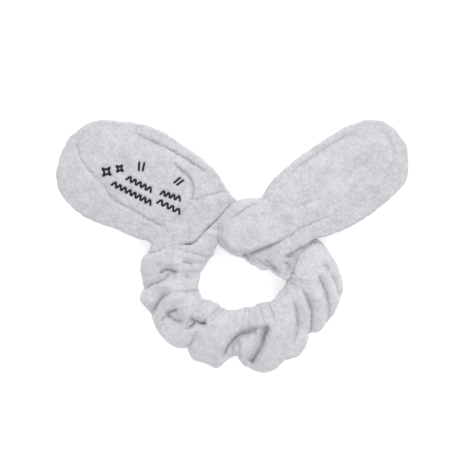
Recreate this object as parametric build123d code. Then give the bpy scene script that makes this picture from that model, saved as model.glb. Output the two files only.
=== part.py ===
"""Plush spa headband with two rabbit ears, lying flat as it is put down on a shelf.

A gathered fleece tube with a flat elastic inside makes the loop that goes round the head. At the front
the two ends of the loop cross in a tacked knot, and each end goes on as a wide padded ear.

Frame: millimetres, +Z up, the loop and the ears lie on Z = 0. +Y runs from the back of the loop to the
knot. The origin is under the middle of the whole piece. Each ear is drawn in a frame of its own: X along
the ear from its fold line to its tip, Y across it, Z up.
"""
from build123d import *
import os

# ------------------------------------------------------------------ driving dimensions
FLEECE = 4.0              # one layer of coral fleece, pile included
BAND_HEIGHT = 28.0        # the gathered tube from the shelf to its top
BAND_ROUNDING = 9.0       # roundness of the tube's edges
ELASTIC_WIDTH = 19.6      # flat elastic, standing on edge inside the tube
ELASTIC_THICKNESS = 1.5
ELASTIC_INSET = 7.0       # from the edge of the head opening to the elastic
CHANNEL_WIDTH = 8.0       # room for the elastic, between the inner wall and the bunched gathers
STRETCH_SPLIT_Y = -55.0   # behind this line the band travels when the loop is stretched
COVER_SPLIT_X = 10.0      # the knot side of the cover is in two lengths, left and right of this line
SPLIT_GAP = 0.3

EAR_THICKNESS = 12.0
EAR_BASE_Z = 14.0         # underside of an ear where it leaves the knot
EAR_LEVEL_X = 110.0       # from here to its tip an ear lies on the shelf
SEAM_ALLOWANCE = 10.0     # turned-in edge of both panels
SEAM_INSET = 1.6          # stitch line, from the outline
THREAD = 1.0
EAR_CLEARANCE = 0.6       # between an ear and what it lies on
SWING_MARGIN = 9.0        # free room past each end of a fold line, for the ear's widening base
SWING_SIDE_ROOM = 4.5     # free room beside a lifted ear, above its fold line
DROOP = (0.45, 0.55)      # where an ear starts and stops bending down, as shares of the way to the shelf

KNOT_HEIGHT = 34.0
KNOT_LAYER_Z = 17.0       # the lower strap ends here, and the upper strap starts
KNOT_ROUNDING = 6.0
KNOT_CORNER = 3.0
TACK_RADIUS = 1.0         # bundles of thread through both straps
TACK_LENGTH = 26.0
KNOT_TACKS = [(4, 20), (12, 16), (20, 12)]
END_TACK = (5.0, 3.0, 12.0)   # bar tack that holds an end of the elastic
END_TACK_Z = 14.0         # its middle

BACKING = 0.5             # stabiliser sheet behind the embroidery
STITCH = 1.6              # width of a satin stitch line
STITCH_HEIGHT = 0.8
OPEN_SHARE = 0.5          # of a diamond's size, its open middle
WAVE_HEIGHT = 2.5         # of a crest, from the middle of its line

LEFT_FOLD = (-22.5, 26.0)     # middle of the left ear's fold line
LEFT_HEADING = 143.0          # where the left ear points, from +X
RIGHT_FOLD = (49.0, 17.5)
RIGHT_HEADING = 29.0

REACH = 300.0             # longer than anything here, for cutting blocks
UNDER = -1.0              # just below the shelf, for cutting blocks
TOLERANCE = 0.1

# Outer edge of the loop, and the edge of the head opening, counter-clockwise.
BAND_OUTER = [
    (100, 4), (84, 10), (40, 14), (-10, 12), (-50, 8), (-88, -6), (-96, -34), (-92, -66),
    (-76, -95), (-40, -118.5), (6, -130.6), (46, -129.6), (84, -100), (109, -66), (117, -38),
]
HEAD_OPENING = [
    (-15, -1), (-30, -21), (-35, -42), (-26, -59), (-4, -68),
    (24, -65), (46, -53), (54, -38), (37, -27), (12, -16),
]

# The knot in plan: the straps fill it from the head opening's edge to the two fold lines.
KNOT = [
    (-33, -1), (-15.5, 0.5), (12, -15.5), (37, -26.5), (55, -38.5), (64, -22), (57, -12), (25, 46), (5, 50),
]
KNOT_UPPER = [(-32.5, -1), (-15.5, 1), (-3, -7), (18, -15), (50, -24), (57, -12), (25, 46), (5, 50)]
# Open room between the knot and the cover's right end, under the right ear.
SIDE_ROOM = [(55, -38.5), (90, 12), (60, 60), (25, 46), (57, -12), (64, -22)]
ELASTIC_ENDS = {"left": (-24.2, -0.2, 95), "right": (59.6, -31.9, 145)}   # place and direction

# Ear outlines from one end of the fold line round the tip to the other, in the ear's frame.
LEFT_EAR = [
    (0, -34), (45, -47), (95, -44), (140, -27), (168, 2), (170, 34),
    (152, 68), (118, 78), (70, 68), (28, 50), (0, 30),
]
RIGHT_EAR = [
    (0, -30), (25, -31), (60, -34), (100, -32), (130, -26), (152.7, -7),
    (160.6, 22), (143, 52), (110, 60), (70, 57), (25, 50), (0, 36),
]

# Embroidery on the left ear, in the ear's frame.
DIAMONDS = [((118, 25), 6.0), ((109, 14), 4.5)]          # centre, half length
DASHES = [(94, -1), (90, -2), (53, -12), (49, -13)]
DASH_LENGTH = 7.0
WAVES = [
    ((97, 17), (68, 12), 3), ((59, 8), (38, 1), 2),       # start, end, crests
    ((106, 31), (60, 23), 5), ((56, 17), (30, 12), 3),
]
BACKING_PLAN = ((74, 9), (102, 56))                      # centre, size
BACKING_CORNER = 6.0


# ------------------------------------------------------------------ shared shapes
def smooth_face(points):
    """Face inside a closed smooth outline."""
    return make_face(Spline(*points, periodic=True))


def grown(points, amount):
    """A counter-clockwise outline moved outward, or inward if the amount is negative."""
    moved = []
    for i, point in enumerate(points):
        along = Vector(*points[(i + 1) % len(points)]) - Vector(*points[i - 1])
        moved.append(Vector(*point) + Vector(along.Y, -along.X).normalized() * amount)
    return moved


def slab(face, low, high):
    """The plan shape as a solid between two heights."""
    return extrude(Pos(0, 0, low) * face, high - low)


def solid_of(shape):
    """The one solid that a boolean operation leaves."""
    return max(shape.solids(), key=lambda s: s.volume)


def is_upright(edge):
    """True for an edge that runs from one height to another."""
    return edge.bounding_box().size.Z > 1


def prism(points, low, high):
    """A straight-sided block with the given corners."""
    return slab(make_face(Polyline(*points, close=True)), low, high)


# ------------------------------------------------------------------ ears
def ear_profile(z, x_from=0.0):
    """Side view of a surface z above the ear's underside, as edges from the fold line to past the tip."""
    lead = [Line((x_from, EAR_BASE_Z + z), (0, EAR_BASE_Z + z))] if x_from < 0 else []
    top, bend, level = EAR_BASE_Z + z, DROOP[0] * EAR_LEVEL_X, DROOP[1] * EAR_LEVEL_X
    droop = Bezier((0, top), (bend, top), (level, z), (EAR_LEVEL_X, z))
    return lead + [droop, Line((EAR_LEVEL_X, z), (REACH, z))]


def ear_layer(low, high, x_from=0.0):
    """A layer of the ear's thickness, wider and longer than the ear."""
    bottom, top = ear_profile(low, x_from), ear_profile(high, x_from)
    ends = [Line(bottom[0] @ 0, top[0] @ 0), Line(bottom[-1] @ 1, top[-1] @ 1)]
    return extrude(Plane.XZ * make_face(bottom + top + ends), REACH / 2, both=True)


def inset_outline(outline, inset):
    """An ear's outline moved inward, its ends slid along to the moved fold line."""
    moved = []
    for i, point in enumerate(outline):
        last, following = outline[max(i - 1, 0)], outline[min(i + 1, len(outline) - 1)]
        along = (Vector(*following) - Vector(*last)).normalized()
        moved.append(Vector(*point) + Vector(-along.Y, along.X) * inset)
        if i in (0, len(outline) - 1):
            moved[-1] += along * ((inset - moved[-1].X) / along.X)
    return moved


def ear_face(outline, inset=0.0):
    """Plan shape of an ear from its fold line."""
    points = inset_outline(outline, inset)
    return make_face([Spline(*points), Line(points[-1], points[0])])


def fold_line(outline):
    """Middle and length of an ear's fold line, at half its thickness."""
    middle = (outline[-1][1] + outline[0][1]) / 2
    return Pos(0, middle, EAR_BASE_Z + EAR_THICKNESS / 2), outline[-1][1] - outline[0][1]


def fold_roll(outline, radius):
    """Round edge along the fold line."""
    place, length = fold_line(outline)
    return place * Rot(90, 0, 0) * Cylinder(radius, length)


def swing_room(outline):
    """Room that a lifted ear turns into: an upright slot behind the fold line, and more width above it."""
    place, length = fold_line(outline)
    depth = EAR_THICKNESS + 2 * EAR_CLEARANCE
    slot = place * Pos(0, 0, REACH / 2) * Box(depth, length + 2 * SWING_MARGIN, REACH)
    fold_height = EAR_BASE_Z + EAR_THICKNESS / 2
    return slot + slab(ear_face(outline, -SWING_SIDE_ROOM), fold_height - EAR_CLEARANCE, REACH)


def ear_parts(outline):
    """Front and back panels, wadding and edge seam of one ear, in the ear's frame."""
    middle = EAR_THICKNESS / 2
    face = ear_face(outline)
    body = (slab(face, UNDER, REACH) & ear_layer(0, EAR_THICKNESS)) + fold_roll(outline, middle)
    pocket_face = ear_face(outline, SEAM_ALLOWANCE)
    wadding = slab(pocket_face, UNDER, REACH) & ear_layer(FLEECE, EAR_THICKNESS - FLEECE)
    seam_face = ear_face(outline, SEAM_INSET) - ear_face(outline, SEAM_INSET + THREAD)
    seam = slab(seam_face, UNDER, REACH) & ear_layer(middle - THREAD / 2, middle + THREAD / 2)
    upper_half = ear_layer(middle, REACH, x_from=-REACH / 2)
    shell = body - wadding - seam
    return {
        "front_panel": solid_of(shell & upper_half),
        "back_panel": solid_of(shell - upper_half),
        "wadding": solid_of(wadding),
        "edge_seam": solid_of(seam),
    }


def ear_envelope(outline):
    """The room that an ear and its fold line need, with clearance, from its underside upward."""
    above = ear_layer(-EAR_CLEARANCE, REACH)
    face = ear_face(outline, -EAR_CLEARANCE)
    roll = fold_roll(outline, EAR_THICKNESS / 2 + EAR_CLEARANCE)
    return (slab(face, -REACH, REACH) & above) + roll + swing_room(outline)


def wave_face(start, end, crests):
    """A satin-stitched wavy line from start to end."""
    a, b = Vector(*start), Vector(*end)
    step = (b - a) / (2 * crests)
    side = Vector(-step.Y, step.X).normalized()
    points = [a + step * i + side * (WAVE_HEIGHT if i % 2 else -WAVE_HEIGHT) for i in range(2 * crests + 1)]
    edges = [Spline(*[p + side * k for p in points]) for k in (-STITCH / 2, STITCH / 2)]
    ends = [Line(edges[0] @ t, edges[1] @ t) for t in (0, 1)]
    return make_face(edges + ends)


def diamond_face(centre, half):
    """An open four-sided motif."""
    outer = Polyline((half, 0), (0, half), (-half, 0), (0, -half), close=True)
    hole = OPEN_SHARE * half
    inner = Polyline((hole, 0), (0, hole), (-hole, 0), (0, -hole), close=True)
    return Pos(*centre) * (make_face(outer) - make_face(inner))


def embroidery():
    """Thread motifs on the left ear's front, and the stabiliser sheet behind them."""
    top = ear_layer(EAR_THICKNESS, EAR_THICKNESS + STITCH_HEIGHT)

    def stitched(faces):
        return Compound(children=[solid_of(slab(f, UNDER, REACH) & top) for f in faces])

    sheet = Pos(*BACKING_PLAN[0]) * RectangleRounded(*BACKING_PLAN[1], BACKING_CORNER)
    layer = ear_layer(EAR_THICKNESS - FLEECE - BACKING, EAR_THICKNESS - FLEECE)
    return {
        "embroidery_diamonds": stitched([diamond_face(c, h) for c, h in DIAMONDS]),
        "embroidery_dashes": stitched([Pos(*at) * Rectangle(STITCH, DASH_LENGTH) for at in DASHES]),
        "embroidery_waves": stitched([wave_face(*w) for w in WAVES]),
        "embroidery_backing": solid_of(slab(sheet, UNDER, REACH) & layer),
    }


def ear_place(fold, heading):
    """Where an ear's own frame lies in the part's frame."""
    return Pos(*fold, 0) * Rot(0, 0, heading)


# ------------------------------------------------------------------ band
def band_parts(knot_room, envelopes):
    """The fleece tube in three lengths, its elastic and the elastic's tacks."""
    outer, opening = smooth_face(BAND_OUTER), smooth_face(HEAD_OPENING)
    block = slab(outer, 0, BAND_HEIGHT)
    surround = slab(Rectangle(REACH, REACH) - opening, 0, BAND_HEIGHT)
    rim = [e for e in surround.edges() if max(e.bounding_box().size) < REACH / 2 and not is_upright(e)]
    edge = [e for e in block.edges() if not is_upright(e)]
    tube = fillet(edge, BAND_ROUNDING) & fillet(rim, BAND_ROUNDING)
    channel_outer = grown(HEAD_OPENING, FLEECE + CHANNEL_WIDTH)
    inside = smooth_face(channel_outer) - smooth_face(grown(HEAD_OPENING, FLEECE))
    hollow = slab(inside, FLEECE, BAND_HEIGHT - FLEECE)
    low_ear = Pos(0, 0, -FLEECE)
    for envelope in envelopes:
        tube = tube - envelope
        hollow = hollow - low_ear * envelope
    tube = tube - hollow - knot_room
    behind = Pos(0, STRETCH_SPLIT_Y - REACH / 2, 0) * Box(2 * REACH, REACH, REACH)
    ahead = Pos(0, STRETCH_SPLIT_Y + SPLIT_GAP + REACH / 2, 0) * Box(2 * REACH, REACH, REACH)
    left = Pos(COVER_SPLIT_X - REACH, 0, 0) * Box(2 * REACH, 2 * REACH, REACH)
    front = tube & ahead
    elastic_outer = smooth_face(grown(HEAD_OPENING, ELASTIC_INSET + ELASTIC_THICKNESS))
    ring = elastic_outer - smooth_face(grown(HEAD_OPENING, ELASTIC_INSET))
    low = (BAND_HEIGHT - ELASTIC_WIDTH) / 2
    elastic = slab(ring, low, low + ELASTIC_WIDTH) - knot_room
    return {
        "band_cover_left": solid_of(front & left),
        "band_cover_right": solid_of(front - left),
        "band_cover_back": solid_of(tube & behind),
        "band_elastic": solid_of(elastic),
    }


# ------------------------------------------------------------------ knot
def rounded_strap(points, low, high):
    """A strap of the knot: a plan shape with soft corners."""
    face = make_face(Polyline(*points, close=True))
    return slab(fillet(face.vertices(), KNOT_CORNER), low, high)


def end_tacks():
    """The bar tacks that sew the elastic's two ends to the knot."""
    return {
        f"elastic_tack_{side}": Pos(x, y, END_TACK_Z) * Rot(0, 0, turn) * Box(*END_TACK)
        for side, (x, y, turn) in ELASTIC_ENDS.items()
    }


def knot_parts(envelopes):
    """The two crossing straps and the tack stitches that hold them."""
    lower = rounded_strap(KNOT, 0, KNOT_LAYER_Z)
    upper = rounded_strap(KNOT_UPPER, KNOT_LAYER_Z, KNOT_HEIGHT)
    top_edges = [e for e in upper.edges() if e.center().Z > KNOT_HEIGHT - TOLERANCE]
    upper = fillet(top_edges, KNOT_ROUNDING)
    for envelope in envelopes:
        lower, upper = lower - envelope, upper - envelope
    tack = Cylinder(TACK_RADIUS, TACK_LENGTH)
    tacks = Compound(children=[Pos(x, y, KNOT_LAYER_Z) * tack for x, y in KNOT_TACKS])
    return {
        "knot_lower_strap": solid_of(lower - tacks),
        "knot_upper_strap": solid_of(upper - tacks),
        "knot_tacks": tacks,
    }


def build():
    """Every sub-part in the part's frame, by node name."""
    left, right = ear_place(LEFT_FOLD, LEFT_HEADING), ear_place(RIGHT_FOLD, RIGHT_HEADING)
    envelopes = [left * ear_envelope(LEFT_EAR), right * ear_envelope(RIGHT_EAR)]
    parts = {f"left_ear_{name}": left * shape for name, shape in ear_parts(LEFT_EAR).items()}
    parts |= {f"right_ear_{name}": right * shape for name, shape in ear_parts(RIGHT_EAR).items()}
    stitched = embroidery()
    parts |= {name: left * shape for name, shape in stitched.items()}
    parts["left_ear_wadding"] = solid_of(parts["left_ear_wadding"] - parts["embroidery_backing"])
    knot_room = rounded_strap(KNOT, UNDER, REACH) + prism(SIDE_ROOM, UNDER, REACH)
    parts |= band_parts(knot_room, envelopes)
    parts |= knot_parts(envelopes)
    tacks = end_tacks()
    for node in ("band_elastic", "knot_lower_strap", "knot_upper_strap"):
        for tack in tacks.values():
            parts[node] = solid_of(parts[node] - tack)
    return parts | tacks


if __name__ == "__main__":
    os.makedirs("parts", exist_ok=True)
    for node, shape in build().items():
        export_step(shape, f"parts/{node}.step")
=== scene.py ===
"""Plush spa headband with two rabbit ears, lying flat on a pale studio floor.

Every outline and fold below is in millimetres in the CAD frame: +X to the right ear's side, +Y from the
back of the loop to the knot, +Z up from the floor. The meshes are scaled to metres when they are made.
"""
from itertools import product

import bpy
import numpy as np
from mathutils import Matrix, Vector


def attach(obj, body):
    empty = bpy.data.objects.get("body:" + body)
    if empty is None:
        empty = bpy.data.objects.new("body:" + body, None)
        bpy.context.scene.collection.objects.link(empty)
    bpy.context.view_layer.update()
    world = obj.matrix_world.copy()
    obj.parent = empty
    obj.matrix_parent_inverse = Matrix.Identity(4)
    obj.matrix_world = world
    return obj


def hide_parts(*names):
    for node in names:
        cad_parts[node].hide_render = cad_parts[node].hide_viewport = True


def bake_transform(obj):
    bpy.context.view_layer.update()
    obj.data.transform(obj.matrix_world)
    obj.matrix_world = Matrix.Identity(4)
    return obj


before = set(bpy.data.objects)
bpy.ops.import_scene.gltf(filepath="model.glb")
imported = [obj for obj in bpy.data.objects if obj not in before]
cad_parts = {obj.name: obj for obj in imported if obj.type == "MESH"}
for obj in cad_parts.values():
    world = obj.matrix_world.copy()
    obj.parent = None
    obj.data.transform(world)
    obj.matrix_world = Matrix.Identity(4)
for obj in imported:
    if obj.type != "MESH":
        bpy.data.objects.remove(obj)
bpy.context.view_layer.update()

MM = 0.001

# ------------------------------------------------------------------ outlines
# Loop stations from the strip beside the knot, round the back, to the right end: the point on the head
# opening's edge, the point on the outer edge, and the underside's and the top's height.
BAND = [
    ((8, 41), (-6, 47), 17, 25), ((0, 26), (-21, 35), 14, 27), ((-8, 12), (-38, 18), 9, 28),
    ((-15, 0), (-59, 7), 5, 28), ((-20, -10), (-79, 2), 2, 27), ((-27, -19), (-90, -8), 0.5, 27),
    ((-32, -27), (-96, -19), 0.5, 27), ((-34, -36), (-96, -33), 0.5, 26),
    ((-35, -44), (-94, -46), 0.5, 27), ((-34, -50), (-97, -57), 0.5, 27),
    ((-29, -57), (-89, -68), 0.5, 27), ((-23, -58), (-82, -79), 0.5, 28),
    ((-18, -60), (-78, -90), 0.5, 28), ((-14, -63), (-67, -102), 0.5, 27),
    ((-10, -66), (-56, -108), 0.5, 27), ((-8, -67), (-47, -108), 0.5, 27),
    ((-6, -68), (-42, -120), 0.5, 27), ((-3, -68), (-29, -125), 0.5, 28),
    ((0, -68), (-15.5, -130), 0.5, 28), ((4, -68.5), (-4, -121), 0.5, 27),
    ((8, -67), (6, -117.5), 0.5, 26), ((14, -66), (11.5, -126), 0.5, 27),
    ((21, -64.5), (31, -133), 0.5, 28), ((28, -62), (45.5, -130.5), 0.5, 28),
    ((35, -60.5), (56, -121), 0.5, 28), ((41, -58.5), (71, -116), 0.5, 28),
    ((45, -56.5), (79, -104.5), 0.5, 28), ((48.5, -52.5), (81, -93.5), 0.5, 27),
    ((51.5, -48.5), (92, -90.5), 0.5, 27), ((54.5, -44.5), (103.5, -78), 0.5, 28),
    ((57, -40.5), (111.5, -62.5), 0.5, 28), ((56, -34.5), (118, -45), 0.5, 28),
    ((51, -26), (114, -28), 0.5, 27), ((49, -20), (107, -14), 0.5, 24), ((50, -13), (99, -1), 1, 20),
    ((55, -5), (90, 7), 2, 15), ((61, 1), (78, 14), 3, 12),
]

LEFT_EAR = [
    (-41, 1.5), (-52, 0.5), (-62, -1), (-74, -5), (-83, -8.7), (-86.3, -8), (-86.0, -4), (-84.3, 1),
    (-87.5, 3.8), (-95, 5.8), (-107, 10), (-126, 18), (-149, 26), (-168, 39), (-183, 58), (-185, 81),
    (-178, 104), (-163, 122), (-142, 132), (-119, 131), (-96, 128), (-74, 120), (-54, 107), (-34, 93),
    (-17, 77), (-4.5, 58.5), (-0.5, 52), (4, 48.5), (4, 44), (-3, 38.5), (-13, 28.5), (-25, 17),
    (-35, 6.5),
]
# The right ear and the part of the knot that it grows out of.
RIGHT_EAR = [
    (0, 44), (14, 49), (26, 49), (32, 53), (40, 66), (57, 82), (76, 97), (96, 110), (116, 123),
    (136, 131), (149, 132.5), (162, 130), (171, 124), (179, 114), (184.5, 104.5), (187, 91), (187.2, 80),
    (184, 68), (177, 58), (159, 42), (140, 28), (120, 17), (98, 8.5), (90, 7.5), (84, 5), (77, -1),
    (73, -7), (70, -14), (66, -24), (58, -36), (51, -34), (43.5, -29), (37, -25.5), (30, -25.5),
    (19, -19), (12, -13.8), (5, -12), (-6, -6), (-14, 2), (-16, 14), (-14, 26), (-8, 36),
]
LEFT_FOLD, LEFT_HEADING = (-22.5, 26.0), 143.0
RIGHT_FOLD, RIGHT_HEADING = (49.0, 17.5), 29.0

# Folds: the line, its depth, how far it fades to the left and to the right of the line, and the share of
# its length over which it dies out at its start and its end.
BAND_FOLDS = [
    ([(-95, -13), (-86, -9), (-73, -4), (-60, 0), (-41, 1)], 1.2, 2, 8, (0, 0.3)),
    ([(-97, -50), (-90, -46), (-83, -41.5), (-76, -39), (-69.5, -36), (-66.5, -31), (-60, -28.5), (-52,
      -29)],
     12, 12, 1.3, (0.1, 0.35)),
    ([(-77, -31), (-73, -27.5), (-68, -25), (-62, -26.5), (-56, -29.5)], 12, 1.2, 9, (0.15, 0.2)),
    ([(-85, -77), (-79, -65), (-73, -56), (-68, -51.5), (-63, -48)], 14, 9, 1.4, (0, 0.35)),
    ([(-69, -71.5), (-64, -69), (-55, -65.5)], 10, 1.3, 8, (0.05, 0.4)),
    ([(-69, -71.5), (-64, -76), (-56, -79.5), (-47, -80.5)], 12, 8, 9, (0.05, 0.4)),
    ([(-45, -74), (-41, -77), (-39, -80), (-41, -84), (-46, -87), (-54, -87)], 12, 1.3, 10, (0.2, 0.5)),
    ([(-39, -78), (-33, -81), (-26, -82)], 11, 2.5, 2, (0.1, 0.15)),
    ([(-49, -111), (-43, -103), (-38, -94), (-33, -86)], 7.5, 5, 2.5, (0, 0.5)),
    ([(-12, -121), (-6, -108), (1, -98.5), (8, -92.5), (14, -90.5), (21, -88), (27, -86), (33, -86)],
     16, 1.4, 8, (0.15, 0.25)),
    ([(4, -121), (0, -112), (2, -103), (8, -96)], 10, 3, 5, (0, 0.4)),
    ([(20, -125), (27.5, -114), (32, -105.5), (34, -97.5), (37, -89.5), (36.5, -81)],
     18, 8, 1.4, (0.05, 0.15)),
    ([(61, -108), (66, -96), (68, -84), (67, -68), (62, -54)], 9, 5, 4, (0.2, 0.3)),
    ([(81, -97), (82, -88), (82.5, -72), (79, -58), (73, -47), (64, -40)], 13, 1.6, 7, (0.1, 0.5)),
    ([(98, -84), (101, -72), (100, -58), (95.5, -44), (90, -33), (84, -24)], 10, 5, 4, (0, 0.3)),
    ([(112, -54), (109, -43), (104, -32), (98, -23), (94, -13)], 10, 3, 9, (0, 0.3)),
    ([(84, 3), (78, -3), (74, -9), (71, -17), (67, -26), (62, -34)], 5, 6, 4, (0, 0.6)),
    ([(-54, -18), (-47, -18.5), (-40, -20)], 4, 1.5, 3, (0.4, 0.2)),
    ([(-52, -33), (-44, -34), (-35, -33)], 4, 2, 2.5, (0.4, 0.1)),
    ([(66, -28), (60, -33), (53, -36)], 6, 2, 3, (0.2, 0)),
]
LEFT_EAR_FOLDS = [
    ([(-118, 121), (-102, 117), (-79, 106.5), (-66, 101), (-47, 89.5), (-33, 80), (-20, 70)],
     3.2, 1.2, 4, (0.3, 0.2)),
    ([(-152, 118), (-160, 111), (-163, 104), (-161, 95), (-155, 84), (-146, 73), (-136, 63)],
     2.2, 3, 1.5, (0.2, 0.2)),
    ([(-136, 66), (-130, 53), (-121, 45), (-107, 38), (-93, 29.5), (-80, 23), (-68, 16.5)],
     3.4, 4, 1.5, (0.1, 0.1)),
    ([(-68, 91), (-55, 80), (-47, 73.5), (-42, 67), (-40.5, 56), (-42, 45)], 4.5, 1.2, 4, (0.4, 0.05)),
    ([(-42, 45), (-48, 38), (-56, 30), (-66, 21)], 2.0, 1.5, 3.5, (0.1, 0.2)),
    ([(-41, 46), (-30, 50), (-21, 53), (-4, 56)], 2.2, 2, 3, (0.1, 0)),
]
RIGHT_EAR_FOLDS = [
    ([(52, 63), (65, 77), (82, 90.5), (98, 101.5), (107, 107), (123, 116), (143, 123)],
     2.0, 1.2, 4, (0.2, 0.3)),
    ([(156, 121), (164, 114), (169, 104), (172, 95), (170, 85), (165, 74), (155, 61)],
     2.0, 2, 3, (0.2, 0.2)),
    ([(57, 36), (74, 42), (85, 46), (101, 50)], 1.6, 3, 4, (0.3, 0.3)),
    ([(150, 112), (147, 98), (140, 86), (128, 76)], 2.2, 8, 6, (0.4, 0.4)),
    ([(100, 58), (117, 66), (130, 80), (150, 92)], 2.2, 7, 9, (0.4, 0.4)),
]
# The deep cavity between the right ear's root and the band's right end.
CAVITY = [(88, 7), (84, 5.2), (79, 1.5), (74, -2.7), (64, -8.5), (53, -12.8)]
KNOT_FOLDS = [
    ([(-5, 22), (3.5, 30.5), (15.5, 38.5), (27, 44), (36, 52)], 2.4, 1.2, 4, (0.3, 0.4)),
    ([(-12, 32), (-4, 37), (6, 44), (14, 47)], 2.0, 3, 3, (0.2, 0.2)),
    ([(32, -14), (42, -22), (50, -33)], 4, 3, 3, (0.2, 0)),
    ([(22, -12), (34, -20), (44, -31)], 3, 2.5, 2.5, (0.2, 0)),
    (CAVITY, 14, 5, 0.8, (0.1, 0.2)),
    ([(54, -16), (59, -22), (62, -31)], 5, 3, 3, (0.2, 0)),
]
# Where the lower strip of the knot sinks beneath the band's right end, how deep it sinks at that line's start
# and end, and over what width.
STRAP_END = [(85, 6), (82, 3.5), (77, -1), (73, -7), (70, -14), (66, -24), (58, -36)]
STRAP_SINK, STRAP_SINK_WIDTH = (14, 4), 10
# The valley between the right ear's upper part and the lower strip, which lies deeper.
VALLEY = [
    (2, -14), (13, -9), (28, -3.5), (42, 2.3), (57, 8.5), (66, 14.5), (74, 20), (98, 29), (110, 35),
    (124, 43),
]

# Embroidery in the left ear's frame, along the ear and across it: each diamond's centre and half-width, each
# dash's middle and its turn in degrees, and each wave's start, end and crests.
DIAMONDS = [((118, 25), 6.6), ((109, 14), 5.2)]
DIAMOND_WAIST, DIAMOND_INSET = 0.30, 0.87
DASHES = [((94, 0), -56), ((90, -2.5), -65), ((53, -12.5), -104), ((49, -12.5), -107)]
DASH_LENGTH = 9.0
WAVES = [
    ((97, 17), (68, 12), 5), ((59, 8), (38, 1), 4),
    ((106, 31), (60, 23), 8), ((56, 17), (30, 12), 4),
]
WAVE_HEIGHT = 2.5
STITCH_WIDTH = 2.2
STITCH_PITCH = 0.45
STITCH_SLANT = 0.3
STITCH_SIDES = 6
THREAD_RADIUS = 0.27
PRESSED_NEAR, PRESSED_FADE = 2.6, 1.4      # how far from a stitch's line the pile is held down

ELASTIC_WIDTH, ELASTIC_THICKNESS, ELASTIC_INSET = 19.6, 1.5, 5.5
ELASTIC_CUP = 2.8            # how far the elastic's cupped section turns, in radians
ELASTIC_MIDDLE = 11.0        # its middle's height above the tube's underside
ELASTIC_STATIONS = slice(3, 32)
ELASTIC_RIB = 0.12
ELASTIC_ALONG, ELASTIC_ACROSS = 260, 41

# Ears. The crown is what the stuffed middle adds to the thickness, from this far inside the outline.
FLOOR_GAP, FLOOR_LEAST = 0.5, 0.15
ROOT_HEIGHT, DROOP = 13.5, 110             # an ear's underside at its fold line, and how long it droops
EAR_THICKNESS, EAR_CROWN, EAR_CROWN_INSET = 7.0, 4.2, 30
EAR_EDGE_ROUND, EAR_EDGE_LIFT = 3.4, 3.2
EAR_EDGE_JITTER, EAR_EDGE_JITTER_SIZE = 0.7, 5.0
RIM_FULLNESS = 0.85                        # how little the left ear's rim rounds off where the band meets it
LEFT_SWELLS, RIGHT_SWELLS, SWELLS_INSET = 30, 28, 12
FOLD_INSET, VALLEY_INSET = 5, 4            # folds fade out this close to an ear's outline
LEFT_CENTRE, RIGHT_CENTRE = (-56, 58), (76, 42)

# The knot, as what it adds to the right ear's root.
KNOT_START, KNOT_LENGTH = 6, 30            # along the ear, where the knot has risen from and over what length
KNOT_UNDERSIDE, KNOT_THICKNESS = 2.0, 23.6
KNOT_EDGE_ROUND, KNOT_EDGE_LIFT = 5.6, 9.0
KNOT_UNDER_BAND_X = 40       # right of this, the knot's strap goes into the band's right end
VALLEY_STEP, VALLEY_STEP_AT_KNOT = 1.4, 6.5
VALLEY_CREASE, VALLEY_CREASE_AT_KNOT = 2.6, 3.0

# The band lies this far under an ear, rises round the ear's rim, and then steeply beside it.
BAND_CLEARANCE, RIM_RISE, RIM_REACH, BESIDE_SLOPE = 1.0, 6.0, 1.2, 7.0
RIM_RISE_LEFT = 2.0
BAND_LEAST = 2.0
BAND_HEIGHT, MOST_PRESSED = 28.0, 0.9
# Over the elastic the folds press no deeper than this, growing from the given share of the way outward.
OVER_ELASTIC, OVER_ELASTIC_GROWTH, OVER_ELASTIC_SHARE = 5.5, 45, 0.18
RUFFLE_DEPTH, RUFFLE_SPACING, RUFFLE_FADE = 5.4, 4.4, 2.4
GATHER_DEPTH, GATHER_SPACING = 2.6, 8

# A fold is a soft valley with a narrow crack along its line, which grows with the square root of the depth.
FOLD_SHARE, CRACK_DEPTH = 0.8, 0.45
CRACK_BLUNT, CRACK_SHIFT = 0.2, 0.45
FOLDS_TOGETHER = 0.25                      # the share of a shallower fold that still shows in a deeper one

# Mesh: points near a fold are drawn towards it, and their distance shrinks to this share at the least.
DRAWN_REACH, DRAWN_LEAST = 7.0, 0.4
EAR_AROUND, EAR_RINGS_UNDER, EAR_RINGS_TOP = 480, 64, 138
BAND_AROUND, BAND_TOP, BAND_UNDER = 650, 100, 50

# Fleece: the pile's height, the size of its tufts, and how far slow lumps raise or lower it.
PILE_HEIGHT, TUFT_SIZE, PILE_LUMPS = 1.1, 3.4, 0.7
PRESSED_DEPTH = 0.5
BAND_PAINTED_LIGHT = 0.2                        # painted light: the band's colour is made paler, to lift the shade in its folds

# Studio: each light's place in metres, its size and its power.
LIGHTS = {"key": ((0.3, 1.2, 1.05), 0.7, 10), "fill": ((0.8, -0.6, 1.3), 1.2, 2)}
WORLD_STRENGTH = 0.92
FLOOR_SIZE, FLOOR_GREY, FLOOR_GLOW = 40, 0.93, 0.3
CAMERA_PLACE, CAMERA_LENS, CAMERA_SENSOR = (-0.0063, 0.020, 1.1326), 85, 36


# ------------------------------------------------------------------ noise
def hashed(cells, seed):
    """A repeatable number from 0 to 1 for every lattice cell, from multiplying by large primes."""
    i = cells.astype(np.int64).astype(np.uint64)
    n = i[:, 0] * np.uint64(73856093) ^ i[:, 1] * np.uint64(19349663) ^ i[:, 2] * np.uint64(83492791)
    n = (n ^ np.uint64(seed * 2654435761)) & np.uint64(0xFFFFFFFF)
    n = (n ^ (n >> np.uint64(13))) * np.uint64(1274126177) & np.uint64(0xFFFFFFFF)
    n = (n ^ (n >> np.uint64(16))) * np.uint64(2246822519) & np.uint64(0xFFFFFFFF)
    return ((n >> np.uint64(8)) & np.uint64(0xFFFF)).astype(float) / 65535


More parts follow.
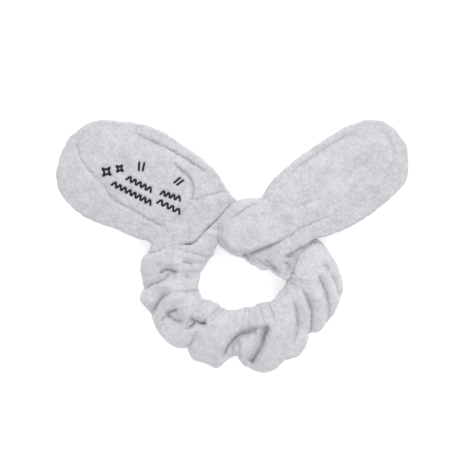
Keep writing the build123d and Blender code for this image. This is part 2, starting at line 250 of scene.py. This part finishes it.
def soft_noise(points, cell, seed):
    """Smooth noise from -1 to 1, with features of about the given size."""
    q = points / cell
    low = np.floor(q)
    f = q - low
    f = f * f * (3 - 2 * f)
    total = np.zeros(len(points))
    for corner in product((0, 1), repeat=3):
        share = np.prod(np.where(corner, f, 1 - f), axis=1)
        total += share * hashed(low + corner, seed)
    return 2 * total - 1


def tuft_noise(points, cell, seed):
    """Distance to the nearest of many scattered tufts, in cells."""
    q = points / cell
    low = np.floor(q)
    best = np.full(len(points), 9.0)
    for step in product((-1, 0, 1), repeat=3):
        at = low + step
        tuft = at + np.stack([hashed(at, seed + k) for k in (1, 2, 3)], 1)
        best = np.minimum(best, np.linalg.norm(q - tuft, axis=1))
    return best


# ------------------------------------------------------------------ curves and fields
def smooth_line(points, count, closed=False):
    """Evenly spaced points on a smooth curve through the given ones."""
    p = np.array(points, float)
    if closed:
        p = np.vstack([p[-1:], p, p[:2]])
    else:
        p = np.vstack([2 * p[0] - p[1], p, 2 * p[-1] - p[-2]])
    t = np.linspace(0, 1, 16, endpoint=False)[:, None]
    spans = [
        0.5 * (2 * b + (c - a) * t + (2 * a - 5 * b + 4 * c - d) * t**2 + (3 * b - a - 3 * c + d) * t**3)
        for a, b, c, d in zip(p, p[1:], p[2:], p[3:])
    ]
    dense = np.vstack(spans + [p[-2:-1]])
    run = np.r_[0, np.cumsum(np.linalg.norm(np.diff(dense, axis=0), axis=1))]
    at = np.linspace(0, run[-1], count, endpoint=not closed)
    return np.stack([np.interp(at, run, column) for column in dense.T], 1)


def ramp(x):
    """Smooth step from 0 to 1."""
    x = np.clip(x, 0, 1)
    return x * x * (3 - 2 * x)


def line_field(xy, line, far):
    """Each point's place by a line: its distance, positive on the left, the share of the line's length there,
    and the way from the line to it. Points beyond the line's reach are given twice that distance.
    """
    distance, share, way = np.full(len(xy), far * 2.0), np.zeros(len(xy)), np.zeros((len(xy), 2))
    near = np.all((xy > line.min(0) - far) & (xy < line.max(0) + far), axis=1)
    q = xy[near]
    best, signed, along = np.full(len(q), 1e9), np.zeros(len(q)), np.zeros(len(q))
    from_line = np.zeros((len(q), 2))
    for i, (a, b) in enumerate(zip(line, line[1:])):
        ab = b - a
        t = np.clip((q - a) @ ab / (ab @ ab), 0, 1)
        gap = q - a - t[:, None] * ab
        d = np.hypot(gap[:, 0], gap[:, 1])
        closer = d < best
        side = np.sign(ab[0] * gap[:, 1] - ab[1] * gap[:, 0])
        best = np.where(closer, d, best)
        signed = np.where(closer, d * np.where(side == 0, 1, side), signed)
        along = np.where(closer, (i + t) / (len(line) - 1), along)
        from_line = np.where(closer[:, None], gap, from_line)
    distance[near], share[near], way[near] = signed, along, from_line
    return distance, share, way


def drawn_to_folds(xy, folds):
    """Plan positions moved closer to the fold lines, so that the mesh is finest along them."""
    for points, *_ in folds:
        d, _, way = line_field(xy, smooth_line(points, 40), DRAWN_REACH)
        kept = DRAWN_LEAST + (1 - DRAWN_LEAST) * ramp(np.abs(d) / DRAWN_REACH)
        xy = xy - way * (1 - kept)[:, None]
    return xy


def inside_distance(xy, outline):
    """Distance to a closed outline, positive inside it."""
    loop = np.vstack([outline, outline[:1]])
    best, inside = np.full(len(xy), 1e9), np.zeros(len(xy), bool)
    for a, b in zip(loop, loop[1:]):
        ab = b - a
        t = np.clip((xy - a) @ ab / (ab @ ab), 0, 1)
        gap = xy - a - t[:, None] * ab
        best = np.minimum(best, np.hypot(gap[:, 0], gap[:, 1]))
        crosses = (a[1] > xy[:, 1]) != (b[1] > xy[:, 1])
        if crosses.any():
            at = a[0] + (xy[:, 1] - a[1]) / (ab[1] if ab[1] else 1e-9) * ab[0]
            inside ^= crosses & (xy[:, 0] < at)
    return np.where(inside, best, -best)


def fold_depth(xy, folds):
    """How deep all the folds together press each point down."""
    total = np.zeros(len(xy))
    for points, depth, left, right, (start, end) in folds:
        d, t, _ = line_field(xy, smooth_line(points, 40), 5 * max(left, right))
        fade = ramp(t / start if start else 1) * ramp((1 - t) / end if end else 1)
        width = np.where(d > 0, left, right)
        near = np.sqrt(d * d + CRACK_BLUNT) - CRACK_SHIFT
        valley = FOLD_SHARE * depth * np.exp(-near / width)
        crack = CRACK_DEPTH * depth**0.5 * np.exp(-near)
        fold = fade * (valley + crack)
        total = np.maximum(total, fold) + FOLDS_TOGETHER * np.minimum(total, fold)
    return total


def to_ear(xy, fold, heading):
    """Plan positions in an ear's own frame: along it from its fold line, and across it."""
    a = np.radians(heading)
    along, across = np.array([np.cos(a), np.sin(a)]), np.array([-np.sin(a), np.cos(a)])
    rel = xy - np.array(fold)
    return rel @ along, rel @ across


def ear_underside(along):
    """Height of an ear's underside: level at the knot, drooping, and flat on the floor from there on.

    The droop is a cubic Bezier curve whose handles are level and reach 0.45 of its length.
    """
    x = np.linspace(0, 1, 60)
    run = 3 * 0.45 * x * (1 - x) ** 2 + 3 * 0.55 * x**2 * (1 - x) + x**3
    drop = 3 * x * (1 - x) ** 2 + (1 - x) ** 3
    return FLOOR_GAP + ROOT_HEIGHT * np.interp(along / DROOP, run, drop)


# ------------------------------------------------------------------ meshes
def skin(name, rings, material):
    """A closed mesh over rings of points, with a point at each end, in millimetres."""
    count, size = rings.shape[:2]
    poles = [rings[0].mean(0), rings[-1].mean(0)]
    points = np.vstack([rings.reshape(-1, 3), poles])
    i, j = np.meshgrid(np.arange(count - 1), np.arange(size), indexing="ij")
    k = (j + 1) % size
    quads = np.stack([i * size + j, i * size + k, (i + 1) * size + k, (i + 1) * size + j], -1).reshape(-1, 4)
    j = np.arange(size)
    k = (j + 1) % size
    first, last = count * size, count * size + 1
    base = (count - 1) * size
    first_cap = np.stack([np.full(size, first), k, j], 1)
    last_cap = np.stack([base + j, base + k, np.full(size, last)], 1)
    faces = quads.tolist() + first_cap.tolist() + last_cap.tolist()
    a, b, c, d = (points[quads[:, n]] for n in range(4))
    if (a * (np.cross(b, c) + np.cross(c, d))).sum() < 0:
        faces = [face[::-1] for face in faces]
    return mesh_object(name, points, faces, material)


def mesh_object(name, points, faces, material):
    """A new smooth-shaded object from points in millimetres."""
    mesh = bpy.data.meshes.new(name)
    mesh.from_pydata((np.asarray(points) * MM).tolist(), [], faces)
    mesh.polygons.foreach_set("use_smooth", [True] * len(mesh.polygons))
    mesh.update()
    obj = bpy.data.objects.new(name, mesh)
    bpy.context.scene.collection.objects.link(obj)
    mesh.materials.append(material)
    return obj


def mesh_points(obj):
    """The object's points in millimetres, and its normals."""
    count = len(obj.data.vertices)
    co, normal = np.zeros(count * 3), np.zeros(count * 3)
    obj.data.vertices.foreach_get("co", co)
    obj.data.vertex_normals.foreach_get("vector", normal)
    return co.reshape(-1, 3) / MM, normal.reshape(-1, 3)


def grow_pile(obj, seed, pressed=None, lift=0.0):
    """Raises the fleece's tufts on a mesh, and stores how high each point of the pile stands for its colour,
    which paints shade between the tufts.

    Where pressed is 1, something holds the pile down. The lift is painted light, which makes the whole piece
    paler.
    """
    points, normal = mesh_points(obj)
    clump = 1 - np.clip(tuft_noise(points, TUFT_SIZE, seed), 0, 1)
    fine = soft_noise(points, 1.5, seed + 7)
    lumps = 0.6 * soft_noise(points, 11.0, seed + 11) + 0.4 * soft_noise(points, 6.0, seed + 13)
    nap = 0.7 * clump + 0.3 * (0.5 + 0.5 * fine)
    stand = PILE_HEIGHT * (nap - 0.45) + PILE_LUMPS * lumps
    if pressed is not None:
        stand = stand * (1 - pressed) - PRESSED_DEPTH * pressed
    points += normal * stand[:, None]
    points[:, 2] = np.maximum(points[:, 2], FLOOR_LEAST)
    obj.data.vertices.foreach_set("co", (points * MM).ravel())
    layer = obj.data.attributes.new("nap", "FLOAT", "POINT")
    # The colour follows the pile's height: painted shade where the pile stands low between the tufts.
    layer.data.foreach_set("value", np.clip(nap + 0.25 * lumps + lift, 0, 1))
    obj.data.update()
    return obj


# ------------------------------------------------------------------ materials
def new_material(name, base, roughness, sheen):
    """A material with its shader, in a clean node tree."""
    material = bpy.data.materials.new(name)
    material.use_nodes = True
    shader = material.node_tree.nodes["Principled BSDF"]
    shader.inputs["Base Color"].default_value = (*base, 1)
    shader.inputs["Roughness"].default_value = roughness
    shader.inputs["Sheen Weight"].default_value = sheen
    shader.inputs["Sheen Roughness"].default_value = 0.4
    shader.inputs["Specular IOR Level"].default_value = 0.15
    return material, material.node_tree.nodes, material.node_tree.links, shader


def noise_node(nodes, links, scale, detail):
    """A noise texture in the piece's own coordinates, with this many features in a metre."""
    where = nodes.new("ShaderNodeTexCoord")
    texture = nodes.new("ShaderNodeTexNoise")
    texture.inputs["Scale"].default_value = scale
    texture.inputs["Detail"].default_value = detail
    links.new(where.outputs["Object"], texture.inputs["Vector"])
    return texture


def shades_node(nodes, links, source, dark, light, low=0.3, high=0.7):
    """Turns a value into a colour between two shades, dark below low and light above high."""
    shades = nodes.new("ShaderNodeValToRGB")
    for element, position, colour in zip(shades.color_ramp.elements, (low, high), (dark, light)):
        element.position = position
        element.color = (*colour, 1)
    links.new(source, shades.inputs["Fac"])
    return shades


def bump_node(nodes, links, height, strength, distance, shader):
    """Fine relief on a shader, whose height comes from a texture."""
    bump = nodes.new("ShaderNodeBump")
    bump.inputs["Strength"].default_value = strength
    bump.inputs["Distance"].default_value = distance
    links.new(height, bump.inputs["Height"])
    links.new(bump.outputs["Normal"], shader.inputs["Normal"])


def fleece_material():
    """Pale grey coral fleece: matt, with a soft sheen, with painted shade between its tufts, and darker in
    slow patches.
    """
    material, nodes, links, shader = new_material("coral_fleece", (0.62, 0.62, 0.65), 0.95, 0.6)
    nap = nodes.new("ShaderNodeAttribute")
    nap.attribute_name = "nap"
    # Painted shade: low pile between the tufts gets the dark colour, the tufts' tips the light one.
    between, tips = (0.485, 0.481, 0.509), (0.645, 0.637, 0.672)
    tufts = shades_node(nodes, links, nap.outputs["Fac"], between, tips, 0.1, 1.0)
    worn = noise_node(nodes, links, 110, 5)
    patches = shades_node(nodes, links, worn.outputs["Fac"], (0.92, 0.92, 0.925), (1, 1, 1), 0.35, 0.65)
    mix = nodes.new("ShaderNodeMix")
    mix.data_type, mix.blend_type = "RGBA", "MULTIPLY"
    mix.inputs["Factor"].default_value = 1
    links.new(tufts.outputs["Color"], mix.inputs["A"])
    links.new(patches.outputs["Color"], mix.inputs["B"])
    links.new(mix.outputs["Result"], shader.inputs["Base Color"])
    fibres = noise_node(nodes, links, 1400, 3)
    bump_node(nodes, links, fibres.outputs["Fac"], 0.5, 0.6 * MM, shader)
    return material


def thread_material(name, dark, light):
    """Twisted thread with a slight gloss along its strands."""
    material, nodes, links, shader = new_material(name, light, 0.55, 0.1)
    strands = noise_node(nodes, links, 2500, 2)
    shades = shades_node(nodes, links, strands.outputs["Fac"], dark, light)
    links.new(shades.outputs["Color"], shader.inputs["Base Color"])
    bump_node(nodes, links, strands.outputs["Fac"], 0.4, 0.2 * MM, shader)
    return material


FLEECE = fleece_material()
BLACK_THREAD = thread_material("black_thread", (0.006, 0.006, 0.008), (0.03, 0.03, 0.035))
GREY_THREAD = thread_material("grey_thread", (0.42, 0.42, 0.45), (0.60, 0.60, 0.63))
ELASTIC = thread_material("woven_elastic", (0.70, 0.70, 0.70), (0.85, 0.85, 0.85))


# ------------------------------------------------------------------ ears
def edge_round(e, radius):
    """How far a padded edge has rounded up at a distance from the outline, from 0 to 1."""
    return np.sqrt(np.clip(1 - (1 - np.clip(e / radius, 0, 1)) ** 2, 0, 1))


def undulation(xy, size, seed):
    """Slow swells and dips of limp fabric over plan positions."""
    p = np.c_[xy, np.zeros(len(xy))]
    return 0.9 * soft_noise(p, size, seed) + 0.5 * soft_noise(p, size * 0.45, seed + 1)


def left_rim_on_band(xy):
    """Where the left ear's lower rim merges into the band that it lies on, from 0 to 1."""
    x, y = xy.T
    return ramp((-43 - x) / 8) * ramp((x + 88) / 8) * ramp((14 - y) / 6)


def left_ear_sides(xy, e):
    """Heights of the left ear's underside and top."""
    along, _ = to_ear(xy, LEFT_FOLD, LEFT_HEADING)
    rise = np.maximum(edge_round(e, EAR_EDGE_ROUND), RIM_FULLNESS * left_rim_on_band(xy))
    low = ear_underside(along) + EAR_EDGE_LIFT * (1 - rise)
    body = EAR_THICKNESS + EAR_CROWN * ramp(e / EAR_CROWN_INSET)
    high = low + rise * (body + undulation(xy, LEFT_SWELLS, 3) * ramp(e / SWELLS_INSET))
    return low, high - fold_depth(xy, LEFT_EAR_FOLDS) * ramp(e / FOLD_INSET)


def right_ear_sides(xy, e):
    """Heights of the underside and top of the right ear and of the knot that it grows out of."""
    along, _ = to_ear(xy, RIGHT_FOLD, RIGHT_HEADING)
    knot = ramp((KNOT_START - along) / KNOT_LENGTH)
    under = ear_underside(np.maximum(along, 0)) * (1 - knot) + KNOT_UNDERSIDE * knot
    rise = edge_round(e, EAR_EDGE_ROUND + KNOT_EDGE_ROUND * knot * ramp((55 - xy[:, 0]) / 10))
    low = under + (EAR_EDGE_LIFT + KNOT_EDGE_LIFT * knot) * (1 - rise)
    body = EAR_THICKNESS + EAR_CROWN * ramp(e / EAR_CROWN_INSET) * (1 - knot) + KNOT_THICKNESS * knot
    high = low + rise * (body + undulation(xy, RIGHT_SWELLS, 13) * ramp(e / SWELLS_INSET))
    d, t, _ = line_field(xy, smooth_line(VALLEY, 60), 90)
    fade = 1 - ramp((t - 0.55) / 0.42)
    step = (VALLEY_STEP + VALLEY_STEP_AT_KNOT * knot) * fade * ramp(-d / 0.9)
    flank = np.where(d > 0, 0.7, 1.6)
    crease = (VALLEY_CREASE + VALLEY_CREASE_AT_KNOT * knot) * fade * np.exp(-np.abs(d) / flank)
    folds = fold_depth(xy, RIGHT_EAR_FOLDS) + fold_depth(xy, KNOT_FOLDS)
    high = high - (step + crease) * ramp(e / VALLEY_INSET) - folds * ramp(e / FOLD_INSET)
    d, t, _ = line_field(xy, smooth_line(STRAP_END, 30), 2 * STRAP_SINK_WIDTH)
    in_cavity = ramp(0.5 + line_field(xy, smooth_line(CAVITY, 30), 40)[0])
    high = high - np.interp(t, (0, 1), STRAP_SINK) * ramp(1 - np.abs(d) / STRAP_SINK_WIDTH) * in_cavity
    return low, np.maximum(high, low + rise)


def ear_rings(outline, centre, sides, folds):
    """Rings of a padded ear, from the middle of its underside round the edge to the middle of its top.

    The outline is a little uneven, as fleece is, and every point of it can be seen from the centre.
    """
    edge = smooth_line(outline, EAR_AROUND, closed=True)
    outward = edge - centre
    outward /= np.linalg.norm(outward, axis=1)[:, None]
    uneven = soft_noise(np.c_[edge, np.zeros(len(edge))], EAR_EDGE_JITTER_SIZE, 71)
    edge = edge + outward * EAR_EDGE_JITTER * uneven[:, None]
    halves = []
    for half, count in enumerate((EAR_RINGS_UNDER, EAR_RINGS_TOP)):
        steps = np.linspace(0, 1, count + 1)[1:]
        share = 0.5 * steps + 0.5 * np.sin(np.pi / 2 * steps)
        plan = np.array(centre) + (edge - centre)[None] * share[:, None, None]
        flat = plan.reshape(-1, 2)
        if half:
            inward = ramp(inside_distance(flat, edge) / 8)[:, None]
            flat = flat + (drawn_to_folds(flat, folds) - flat) * inward
        height = sides(flat, np.maximum(inside_distance(flat, edge), 0))[half]
        halves.append(np.c_[flat, height].reshape(count, -1, 3))
    under, top = halves
    return np.concatenate([under, top[::-1][1:]])


def hinge_blend(ear):
    """Bakes an ear's placement into its mesh."""
    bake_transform(ear)


# ------------------------------------------------------------------ embroidery
def wave_path(start, end, crests):
    """A wavy line from start to end."""
    a, b = np.array(start, float), np.array(end, float)
    step = (b - a) / (2 * crests)
    side = np.array([-step[1], step[0]]) / np.hypot(*step) * WAVE_HEIGHT
    turns = [a + step * i + (side if i % 2 else -side) for i in range(2 * crests + 1)]
    return smooth_line(turns, 12 * crests)


def diamond_paths(centre, half):
    """The four sides of an open diamond with drawn-out corners, inset to leave room for the stitches."""
    waist = DIAMOND_WAIST * half
    corners = [(half, 0), (0, half), (-half, 0), (0, -half)]
    waists = [(waist, waist), (-waist, waist), (-waist, -waist), (waist, -waist)]
    sides = []
    for i, middle in enumerate(waists):
        side = np.array([corners[i], middle, corners[(i + 1) % 4]]) * DIAMOND_INSET
        sides.append(smooth_line(side + centre, 8))
    return sides


def to_plan(path):
    """A path in the left ear's frame as plan positions."""
    a = np.radians(LEFT_HEADING)
    return np.array(LEFT_FOLD) + path @ np.array([[np.cos(a), np.sin(a)], [-np.sin(a), np.cos(a)]])


def embroidery_paths():
    """Every motif's paths in plan, by the name of the CAD node that they stand for."""
    turns = [np.radians(turn) for _, turn in DASHES]
    halves = [DASH_LENGTH / 2 * np.array([np.cos(turn), np.sin(turn)]) for turn in turns]
    return {
        "embroidery_diamonds": [to_plan(side) for motif in DIAMONDS for side in diamond_paths(*motif)],
        "embroidery_dashes": [to_plan(np.array([at - h, at + h])) for (at, _), h in zip(DASHES, halves)],
        "embroidery_waves": [to_plan(wave_path(*wave)) for wave in WAVES],
    }


def pressed_pile(points, paths):
    """Where the embroidery holds the pile down, from 0 to 1."""
    pressed = np.zeros(len(points))
    for path in paths:
        d, _, _ = line_field(points[:, :2], path, 4)
        pressed = np.maximum(pressed, ramp((PRESSED_NEAR - np.abs(d)) / PRESSED_FADE))
    return pressed


def one_stitch():
    """A stitch across its line: positions across it and along it, heights, and its faces."""
    n = STITCH_SIDES
    # Each section's place across, as a share of the width, its share of the radius, and its height.
    half = [(-0.50, 0.5, -0.25), (-0.36, 1.0, 0.12)]
    sections = [*half, (0.0, 1.0, 0.30), *((-across, size, lift) for across, size, lift in reversed(half))]
    turn = np.linspace(0, 2 * np.pi, n, endpoint=False)
    points, faces = [], []
    for across, size, lift in sections:
        radius = size * THREAD_RADIUS
        points += [(across * STITCH_WIDTH, radius * np.cos(a), lift + radius * np.sin(a)) for a in turn]
    for i, j in product(range(len(sections) - 1), range(n)):
        k = (j + 1) % n
        faces.append([n * i + j, n * i + k, n * (i + 1) + k, n * (i + 1) + j])
    last = n * (len(sections) - 1)
    return np.array(points), faces + [list(range(n - 1, -1, -1)), list(range(last, last + n))]


def satin_stitches(name, paths):
    """Stitches side by side along the paths, lying on the left ear."""
    template, template_faces = one_stitch()
    points, faces = [], []
    outline = smooth_line(LEFT_EAR, 160, closed=True)
    for path in paths:
        length = np.linalg.norm(np.diff(path, axis=0), axis=1).sum()
        line = smooth_line(path, max(3, round(length / STITCH_PITCH)))
        heading = np.gradient(line, axis=0)
        heading /= np.linalg.norm(heading, axis=1)[:, None]
        across = np.stack([heading[:, 1], -heading[:, 0]], 1) + STITCH_SLANT * heading
        top = left_ear_sides(line, inside_distance(line, outline))[1]
        for at, way, side, z in zip(line, heading, across, top):
            faces += [[len(points) * len(template) + k for k in face] for face in template_faces]
            xy = at + template[:, :1] * side + template[:, 1:2] * way
            points.append(np.c_[xy, template[:, 2] + z])
    stitches = mesh_object(name + "_thread", np.vstack(points), faces, BLACK_THREAD)
    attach(stitches, "left_ear")
    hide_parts(name)


# ------------------------------------------------------------------ ears and embroidery in place
def make_left_ear(paths):
    """The left ear, whose pile is held down under the embroidery's paths."""
    rings = ear_rings(LEFT_EAR, LEFT_CENTRE, left_ear_sides, LEFT_EAR_FOLDS)
    ear = skin("left_ear_fleece", rings, FLEECE)
    points, _ = mesh_points(ear)
    on_top = np.arange(len(points)) >= EAR_AROUND * EAR_RINGS_UNDER
    return grow_pile(ear, 21, pressed_pile(points, paths) * on_top)


def make_right_ear():
    """The right ear with the knot that it grows out of."""
    lines = [(VALLEY,)] + RIGHT_EAR_FOLDS + KNOT_FOLDS
    rings = ear_rings(RIGHT_EAR, RIGHT_CENTRE, right_ear_sides, lines)
    return grow_pile(skin("right_ear_and_knot_fleece", rings, FLEECE), 31)


EMBROIDERY = embroidery_paths()
left_ear = make_left_ear([path for paths in EMBROIDERY.values() for path in paths])
right_ear = make_right_ear()
for ear, side in ((left_ear, "left"), (right_ear, "right")):
    panels = [f"{side}_ear_{part}" for part in ("front_panel", "back_panel", "wadding", "edge_seam")]
    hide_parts(*panels)
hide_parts("embroidery_backing")
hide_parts("knot_upper_strap")
hinge_blend(left_ear)
hinge_blend(right_ear)
for motif, paths in EMBROIDERY.items():
    satin_stitches(motif, paths)


# ------------------------------------------------------------------ band
def band_stations():
    """Smooth stations along the tube with slightly uneven edges, and how far along the opening each is."""
    flat = [(*inner, *outer, low, high) for inner, outer, low, high in BAND]
    stations = smooth_line(flat, BAND_AROUND)
    run = np.r_[0, np.cumsum(np.linalg.norm(np.diff(stations[:, :2], axis=0), axis=1))]
    outward = stations[:, 2:4] - stations[:, :2]
    outward /= np.linalg.norm(outward, axis=1)[:, None]
    for columns, size, seed in ((slice(0, 2), 4.5, 61), (slice(2, 4), 7.0, 62)):
        at = np.c_[run, 0 * run, 0 * run]
        stations[:, columns] += outward * soft_noise(at, size, seed)[:, None]
    return stations, run


def tube_section(stations):
    """Plan positions and heights round the tube, each one's share of the way outward, and if it is on top.

    The section is a rounded slab: steep at the head opening, and falling gently to a low outer edge.
    """
    upper = np.linspace(0, np.pi, BAND_TOP, endpoint=False)
    under = np.linspace(np.pi, 2 * np.pi, BAND_UNDER, endpoint=False)
    turn = np.r_[upper, under]
    c, s = np.cos(turn), np.sin(turn)
    share = np.broadcast_to(0.5 + 0.5 * np.sign(c) * np.abs(c) ** 0.85, (len(stations), len(turn)))
    inner, outer = stations[:, None, 0:2], stations[:, None, 2:4]
    xy = inner + (outer - inner) * share[..., None]
    low, high = stations[:, 4:5], stations[:, 5:6]
    middle = low + (high - low) * (0.48 - 0.14 * share)
    crown = high - (high - middle) * (0.10 * (1 - share) ** 3 + 0.42 * share**3)
    up = middle + (crown - middle) * np.abs(s) ** 0.62
    down = middle - (middle - low) * np.abs(s) ** 0.55
    return xy, np.where(s > 0, up, down), share, np.broadcast_to(s > 0, share.shape)


def under_ears(xy, low):
    """The greatest height that the band may have where an ear lies on it or beside it."""
    ceiling = np.full(len(xy), 99.0)
    ears = ((LEFT_EAR, LEFT_FOLD, LEFT_HEADING), (RIGHT_EAR, RIGHT_FOLD, RIGHT_HEADING))
    for outline, fold, heading in ears:
        e = inside_distance(xy, smooth_line(outline, 160, closed=True))
        along, _ = to_ear(xy, fold, heading)
        rim = (RIM_RISE + RIM_RISE_LEFT * left_rim_on_band(xy)) * ramp(1 - e / RIM_REACH)
        room = ear_underside(np.maximum(along, 0)) - BAND_CLEARANCE + rim + BESIDE_SLOPE * np.maximum(-e, 0)
        if heading == RIGHT_HEADING:
            room = np.where((along < 0) & (xy[:, 0] < KNOT_UNDER_BAND_X), 99, room)
        ceiling = np.minimum(ceiling, room)
    return np.maximum(ceiling, low + BAND_LEAST)


def gathers(run, share, top):
    """How deep the elastic's gathers press the tube in: ruffles at the opening, wide soft ones all over."""
    ruffles = ramp(0.5 + 0.9 * soft_noise(np.c_[run / RUFFLE_SPACING, share, 0 * run], 1.0, 41))
    wide = ramp(0.5 + 0.8 * soft_noise(np.c_[run / GATHER_SPACING, share * 2.2, 3.0 * top], 1.0, 43))
    at_opening = RUFFLE_DEPTH * ruffles * np.exp(-share * RUFFLE_FADE)
    return at_opening + GATHER_DEPTH * wide * np.where(top, 0.7, 1.0)


def make_band():
    """The gathered fleece tube."""
    stations, run = band_stations()
    xy, z, share, top = tube_section(stations)
    shape = z.shape
    run = np.broadcast_to(run[:, None], shape).ravel()
    low = np.broadcast_to(stations[:, 4:5], shape).ravel()
    xy, z, share, top = xy.reshape(-1, 2), z.ravel(), share.ravel(), top.ravel()
    xy = drawn_to_folds(xy, BAND_FOLDS)
    drop = fold_depth(xy, BAND_FOLDS) + gathers(run, share, top)
    over_elastic = (xy[:, 1] < -30) | (xy[:, 0] < 0)
    deepest = OVER_ELASTIC + OVER_ELASTIC_GROWTH * np.maximum(share - OVER_ELASTIC_SHARE, 0)
    drop = np.where(over_elastic, np.minimum(drop, deepest), drop)
    z = low + (z - low) * (1 - np.clip(drop / BAND_HEIGHT, 0, MOST_PRESSED))
    z = np.minimum(z, under_ears(xy, low))
    band = skin("band_fleece", np.c_[xy, z].reshape(*shape, 3), FLEECE)
    # The band's colour is painted paler: painted light that lifts the shade in its folds.
    return grow_pile(band, 51, lift=BAND_PAINTED_LIGHT)


def elastic_ribbon():
    """The woven elastic inside the tube's inner edge, ribbed along its length and cupped by the gathers."""
    stations = smooth_line([(*i, *o, lo) for i, o, lo, _ in BAND[ELASTIC_STATIONS]], ELASTIC_ALONG)
    outward = stations[:, 2:4] - stations[:, :2]
    outward /= np.linalg.norm(outward, axis=1)[:, None]
    bend = ELASTIC_WIDTH / ELASTIC_CUP
    across = np.linspace(-0.5, 0.5, ELASTIC_ACROSS) * ELASTIC_CUP
    ribs = ELASTIC_RIB * np.cos(np.arange(ELASTIC_ACROSS) * np.pi)
    rings = []
    for face in (1, -1):
        radius = bend + face * (ELASTIC_THICKNESS / 2 - ELASTIC_RIB + ribs)
        out = ELASTIC_INSET + bend - radius * np.cos(across)
        up = ELASTIC_MIDDLE + radius * np.sin(across)
        xy = stations[:, None, :2] + outward[:, None] * out[None, :, None]
        z = stations[:, 4:5] + up[None]
        rings.append(np.concatenate([xy, z[..., None]], -1)[:, ::face])
    return skin("elastic_ribbon", np.concatenate(rings, 1), ELASTIC)


band, elastic = make_band(), elastic_ribbon()
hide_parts("band_cover_left", "band_cover_right", "band_cover_back", "knot_lower_strap")
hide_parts("band_elastic")
for piece in (band, elastic):
    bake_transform(piece)
for node in ("elastic_tack_left", "elastic_tack_right", "knot_tacks"):
    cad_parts[node].data.materials.clear()
    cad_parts[node].data.materials.append(GREY_THREAD)


# ------------------------------------------------------------------ studio
def studio_floor():
    """A plain floor, bright enough to leave only faint shadows."""
    bpy.ops.mesh.primitive_plane_add(size=FLOOR_SIZE)
    floor = bpy.context.object
    floor.name = "floor"
    material, _, _, shader = new_material("studio_floor", (FLOOR_GREY,) * 3, 0.9, 0)
    shader.inputs["Emission Color"].default_value = (1, 1, 1, 1)
    shader.inputs["Emission Strength"].default_value = FLOOR_GLOW
    floor.data.materials.append(material)


def studio_lights():
    """Even light all round, a soft key light from beyond the ears and a weak fill from the other side."""
    world = bpy.data.worlds.new("studio")
    world.use_nodes = True
    world.node_tree.nodes["Background"].inputs["Color"].default_value = (1, 1, 1, 1)
    world.node_tree.nodes["Background"].inputs["Strength"].default_value = WORLD_STRENGTH
    bpy.context.scene.world = world
    for name, (place, size, power) in LIGHTS.items():
        light = bpy.data.lights.new(name, "AREA")
        light.size, light.energy = size, power
        lamp = bpy.data.objects.new(name, light)
        lamp.location = place
        lamp.rotation_euler = (-Vector(place)).to_track_quat("-Z", "Y").to_euler()
        bpy.context.scene.collection.objects.link(lamp)


def studio_camera():
    """The camera straight above the headband."""
    data = bpy.data.cameras.new("camera")
    data.lens, data.sensor_width = CAMERA_LENS, CAMERA_SENSOR
    camera = bpy.data.objects.new("camera", data)
    camera.location = CAMERA_PLACE
    bpy.context.scene.collection.objects.link(camera)
    bpy.context.scene.camera = camera


studio_floor()
studio_lights()
studio_camera()
bpy.context.scene.view_settings.view_transform = "Standard"
